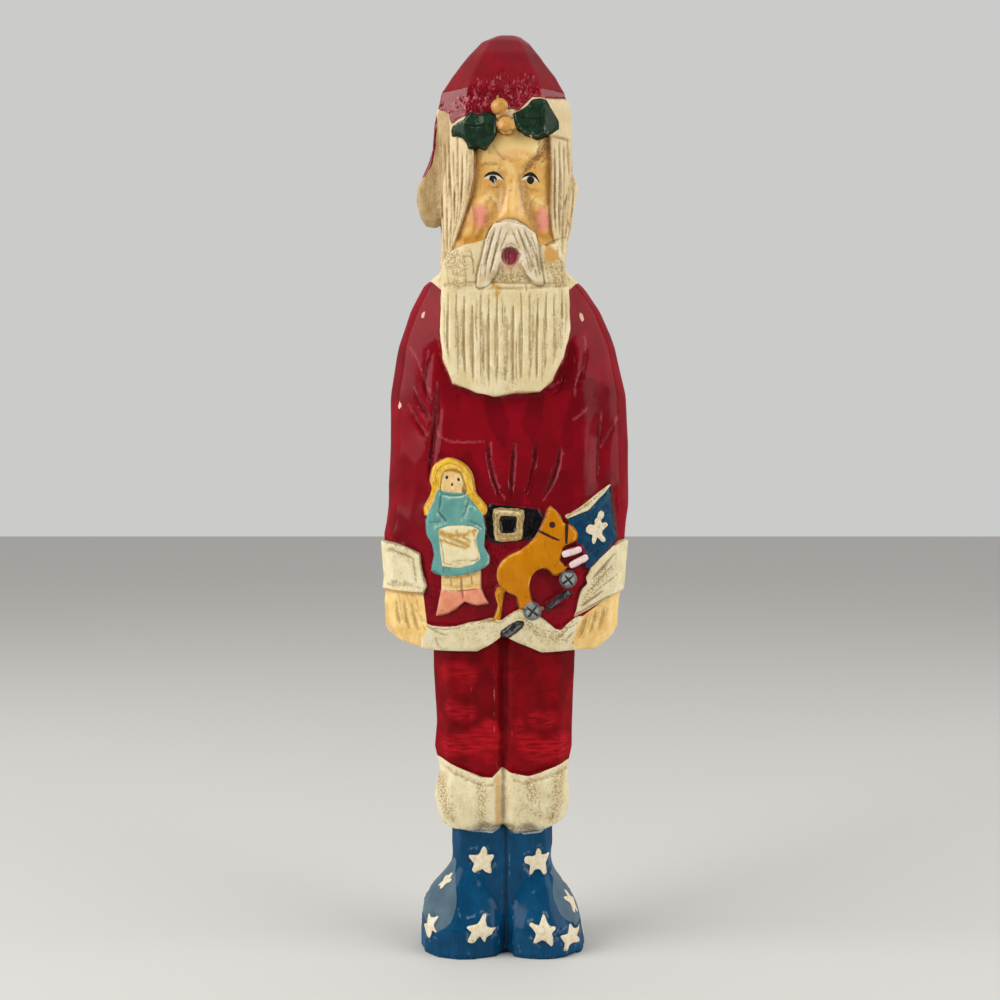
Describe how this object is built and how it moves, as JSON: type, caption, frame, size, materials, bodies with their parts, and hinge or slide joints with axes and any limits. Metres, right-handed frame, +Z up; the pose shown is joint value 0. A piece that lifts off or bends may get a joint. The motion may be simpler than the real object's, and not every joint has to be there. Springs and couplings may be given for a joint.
{
  "type": "carved folk-art santa figure",
  "caption": "Slim standing Santa carved in one block of wood and painted: long beard, doll, toy horse and flag held across the coat, starred boots.",
  "frame": {"origin": "middle of the sole, on the surface that the figure stands on", "axes": "+Z up the figure, face towards -Y, +X to the right of someone facing it"},
  "size_m": [0.1207, 0.054, 0.44],
  "materials": {
    "painted_wood": "hand-painted basswood, chiefly deep red with cream fur and blue boots, brown antiquing rubbed into the cuts and a clear varnish"
  },
  "bodies": {
    "root": {"carved_santa_figure": "painted_wood"}
  },
  "joints": []
}
